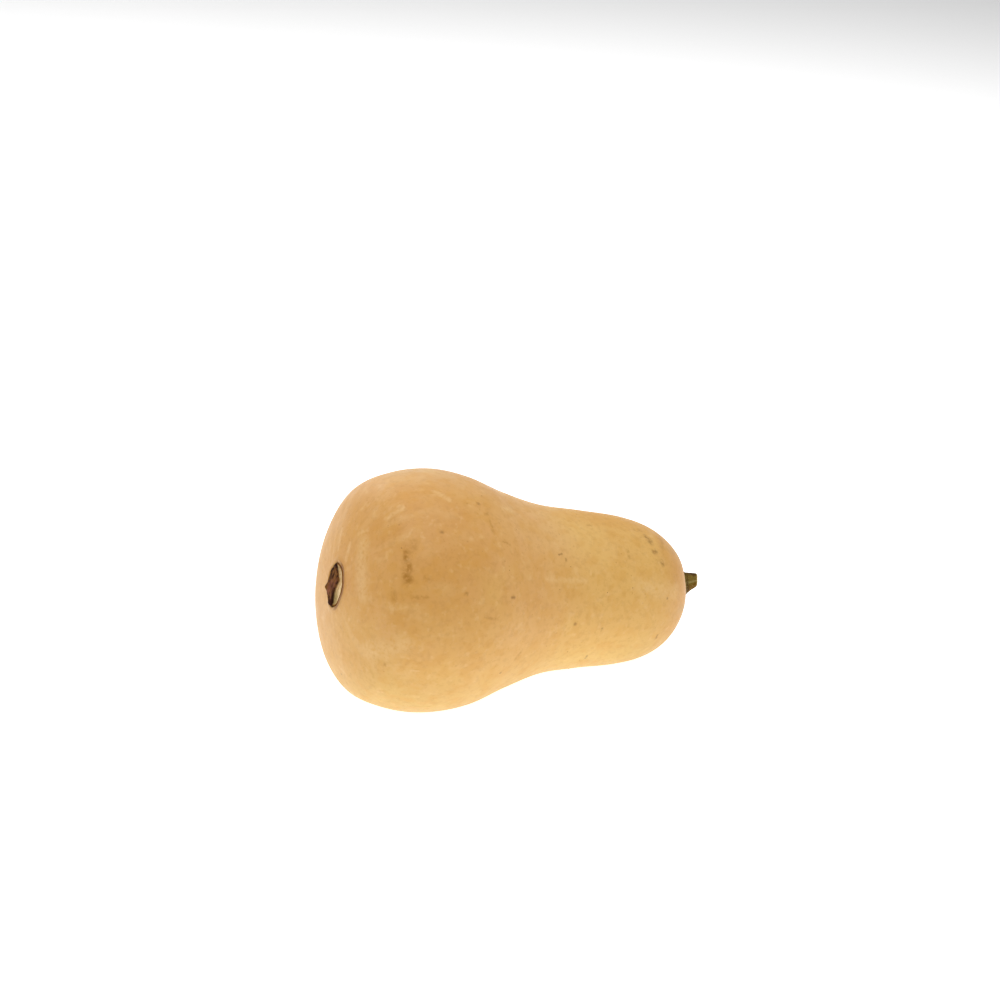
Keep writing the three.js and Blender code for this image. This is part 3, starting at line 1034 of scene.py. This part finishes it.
SCAR_RINGS = 46
SCAR_SEGMENTS = 180
SCAR_BACK = -2.2 * MM
SCAR_OVERLAP = 1.025  # its edge tucks under the recess's rim
BACK_TAPER = 0.99
EDGE_SINK = 0.8 * MM  # the edge lies this far below the end of the fruit
MARGIN_SINK = 1.5 * MM
CRUST_EDGE = 1.2 * MM  # the crust covers the +Y side and this much of the other
CRUST_BULGE = 4.2 * MM  # and more than that where it bulges
BULGE_UP = 2.7 * MM
BULGE_REACH = 3.6 * MM
CRUST_SOFTNESS = 0.4 * MM
CRUST_RISE = 0.35 * MM
WRINKLE = 0.5 * MM
NUB_PLACE = (-5 * MM, -2 * MM)
NUB_RISE = 2 * MM
NUB_RADIUS = 1.4 * MM
NUB_STRETCH = 1.6

CRUST_BROWN = paint(0x7E5228)
CRUST_DARK = paint(0x2A1006)
MAUVE_HIGHLIGHT = paint(0x8E5646)
MARGIN_CREAM = paint(0xF2D5A6)
MARGIN_TAN = paint(0xD2AE74)
MARGIN_GREEN = paint(0xA8925A)


def smooth_step(value, low, high):
    share = min(max((value - low) / (high - low), 0), 1)
    return share * share * (3 - 2 * share)


def scar_top(across, up, reach):
    """Height of the scar's face at a place before it is narrowed, and how far that place
    lies inside the crust, in millimetres. The reach is 1 at the scar's edge."""
    grain = Vector((across, up * 0.45, 0)) / MM
    edge_noise = noise.noise(grain * 0.45 + Vector((3, 1, 4)))
    bulge = CRUST_BULGE * math.exp(-(((up - BULGE_UP) / BULGE_REACH) ** 2))
    inside = CRUST_EDGE + bulge + edge_noise * 0.9 * MM - across - 0.45 * max(up - 5 * MM, 0)
    crust = smooth_step(inside, -CRUST_SOFTNESS, CRUST_SOFTNESS)
    margin = -MARGIN_SINK + smooth_step(reach, 0.82, 1.0) * (MARGIN_SINK - EDGE_SINK)
    margin += noise.noise(grain * 0.9) * 0.12 * MM
    wrinkles = noise.fractal(grain * 0.55, 1.0, 2.0, 4) * WRINKLE
    roll = math.exp(-(((inside - 1.1 * MM) / MM) ** 2)) * 0.35 * MM
    from_nub = math.hypot(across * SCAR_NARROWING - NUB_PLACE[0], (up - NUB_PLACE[1]) / NUB_STRETCH)
    nub = NUB_RISE * math.exp(-((from_nub / NUB_RADIUS) ** 2))
    edge_drop = smooth_step(reach, 0.9, 1.0) * 0.5 * MM
    edge_drop += smooth_step(up, 1 * MM, 6 * MM) * 0.7 * MM
    return margin + crust * (CRUST_RISE + wrinkles + roll + nub - edge_drop - margin), inside / MM


def scar_crust():
    """The scar as a closed disc. The attribute crust tells how far inside the crust a
    point lies, in millimetres; it is negative on the margin."""
    shell = bmesh.new()
    crust_layer = shell.verts.layers.float.new("crust")
    loops = []
    for ring in range(1, SCAR_RINGS + 1):
        share = ring / SCAR_RINGS
        loop = []
        for segment in range(SCAR_SEGMENTS):
            turn = math.tau * segment / SCAR_SEGMENTS
            waver = 1 + SCAR_WAVER * (math.sin(3 * turn + 1) + math.sin(7 * turn + 2) / 2)
            out = share * SCAR_RADIUS * waver * SCAR_OVERLAP
            across, up = out * math.cos(turn), out * math.sin(turn)
            height, crust = scar_top(across, up, share)
            vertex = shell.verts.new((height, across * SCAR_NARROWING, up))
            vertex[crust_layer] = crust
            loop.append(vertex)
        loops.append(loop)
    back = [shell.verts.new((SCAR_BACK, *vertex.co.yz * BACK_TAPER)) for vertex in loops[-1]]
    loops.append(back)
    height, crust = scar_top(0, 0, 0)
    front_middle = shell.verts.new((height, 0, 0))
    front_middle[crust_layer] = crust
    back_middle = shell.verts.new((SCAR_BACK, 0, 0))
    neighbours = [(i, (i + 1) % SCAR_SEGMENTS) for i in range(SCAR_SEGMENTS)]
    for inner, outer in zip(loops, loops[1:]):
        for i, j in neighbours:
            shell.faces.new((inner[i], inner[j], outer[j], outer[i]))
    for i, j in neighbours:
        shell.faces.new((front_middle, loops[0][j], loops[0][i]))
        shell.faces.new((back_middle, back[i], back[j]))
    bmesh.ops.recalc_face_normals(shell, faces=shell.faces)
    for face in shell.faces:
        face.smooth = True
    mesh = bpy.data.meshes.new("scar_crust")
    shell.to_mesh(mesh)
    shell.free()
    mesh.transform(scar_place)
    return mesh


def crust_finish():
    finish, tree, shader, position = new_finish("crust_cork")
    outwards, across, up = measured_in(scar_place, position)
    crust = Field(attribute(tree, "crust", "Fac"))
    reach = scar_reach(across, up)
    stretched = join(tree, outwards, across, up * 0.4)
    drift = patches(tree, position, 1.6 * MM, 1.0, 0.35, 0.7)
    by_crust = crust.ramp(-3.0, -0.5)
    low_margin = up.ramp(-2 * MM, -6 * MM) * crust.ramp(-4.5, -1.0)
    margin = coats(
        tree, MARGIN_CREAM,
        (drift, MARGIN_TAN),
        (by_crust * 0.6, MARGIN_TAN),
        (low_margin * 0.7, MARGIN_GREEN),
    )
    furrows = patches(tree, stretched, 1.3 * MM, 2.0, 0.42, 0.58, 4.0)
    # a painted highlight: lighter mauve on the crust's raised middle
    raised_highlight = outwards.ramp(0.0, 0.6 * MM) * outwards.ramp(1.7 * MM, 1.1 * MM)
    raised_highlight = raised_highlight * patches(tree, stretched, 1.6 * MM, 3.0, 0.35, 0.6, 4.0)
    rim = (crust.ramp(1.3, 0.4) * (up.ramp(0, -4 * MM) * 0.6 + 0.4)).larger(reach.ramp(0.8, 0.93))
    rim = rim.larger(up.ramp(-5.5 * MM, -8.5 * MM))
    cork = coats(
        tree, CRUST_BROWN,
        (furrows * 0.85, CRUST_DARK),
        (raised_highlight * 0.6, MAUVE_HIGHLIGHT),
        (rim * 0.85, CRUST_DARK),
    )
    # the scar's edge line, partly painted shade of the gap between scar and rind
    lip = reach.ramp(0.94, 0.99) * crust.ramp(0.5, -0.5)
    colour = coats(tree, margin, (crust.ramp(-0.3, 0.1), cork), (lip * 0.9, RIM_BROWN_AND_SHADE))
    roughness = patches(tree, position, 1 * MM, 4.0) * 0.1 + 0.85
    dress(shader, colour, roughness, 0.12, noise_at(tree, stretched, 0.5 * MM, 4.0) * 0.25 * MM)
    return finish


scar = add_object("scar_crust", scar_crust())
scar.data.materials.append(crust_finish())
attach(scar, "root")
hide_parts("blossom_scar")


# ---------------------------------------------------------------------------------------
# Camera, floor and lights
# A studio table: a pale sheet lit from below, a large soft lamp overhead, a smaller one
# behind, and a white room. None of it belongs to the part.
# ---------------------------------------------------------------------------------------

CAMERA_PLACE = Vector((-399.56, -956.37, 651.62)) * MM
CAMERA_AZIMUTH = math.radians(-22.15)
CAMERA_ELEVATION = math.radians(28)
FIELD_OF_VIEW = math.radians(24)

ground_share = math.cos(CAMERA_ELEVATION)
towards_camera = Vector((
    math.sin(CAMERA_AZIMUTH) * ground_share,
    -math.cos(CAMERA_AZIMUTH) * ground_share,
    math.sin(CAMERA_ELEVATION),
))
camera = add_object("camera", bpy.data.cameras.new("camera"))
camera.data.sensor_width = 36
camera.data.angle = FIELD_OF_VIEW
camera.data.clip_start = 0.01
camera.data.clip_end = 20
camera.location = CAMERA_PLACE
camera.rotation_euler = (-towards_camera).to_track_quat("-Z", "Y").to_euler()
bpy.context.scene.camera = camera

FLOOR_RADIUS = 2.2
FLOOR_DROP = 0.1 * MM  # clear of the flats that the fruit rests on
LIT_FLOOR = 0.86  # the floor is a lit sheet, so that the underside isn't left dark
LIT_REACH = (0.35, 1.5)  # its light fades between these distances
ROOM_LIGHT = 0.45

floor_disc = bmesh.new()
bmesh.ops.create_circle(floor_disc, cap_ends=True, segments=96, radius=FLOOR_RADIUS)
bmesh.ops.translate(floor_disc, verts=floor_disc.verts, vec=(0, 0, -FLOOR_DROP))
floor_mesh = bpy.data.meshes.new("floor")
floor_disc.to_mesh(floor_mesh)
floor_disc.free()
floor = add_object("floor", floor_mesh)
floor_sheet, tree, shader, position = new_finish("floor_sheet")
across, along, _ = split(position)
shader.inputs["Base Color"].default_value = (0.8, 0.8, 0.8, 1)
shader.inputs["Roughness"].default_value = 0.9
shader.inputs["Emission Color"].default_value = (1, 1, 1, 1)
fade = across.hypot(along).ramp(LIT_REACH[1], LIT_REACH[0])
plug(shader.inputs["Emission Strength"], fade * LIT_FLOOR)
floor_mesh.materials.append(floor_sheet)


def soft_light(name, place, size, watts):
    lamp = bpy.data.lights.new(name, "AREA")
    lamp.shape = "DISK"
    lamp.size = size
    lamp.energy = watts
    light = add_object(name, lamp)
    light.location = place
    light.rotation_euler = (-Vector(place)).to_track_quat("-Z", "Y").to_euler()


soft_light("overhead", place=(0, 0.1, 1.4), size=1.6, watts=14.2)
soft_light("back", place=(-0.3, 1.35, 0.6), size=0.8, watts=4.0)
room = bpy.data.worlds.new("room")
room.use_nodes = True
background = room.node_tree.nodes["Background"]
background.inputs["Color"].default_value = (1, 1, 1, 1)
background.inputs["Strength"].default_value = ROOM_LIGHT
bpy.context.scene.world = room
bpy.context.scene.view_settings.view_transform = "Standard"
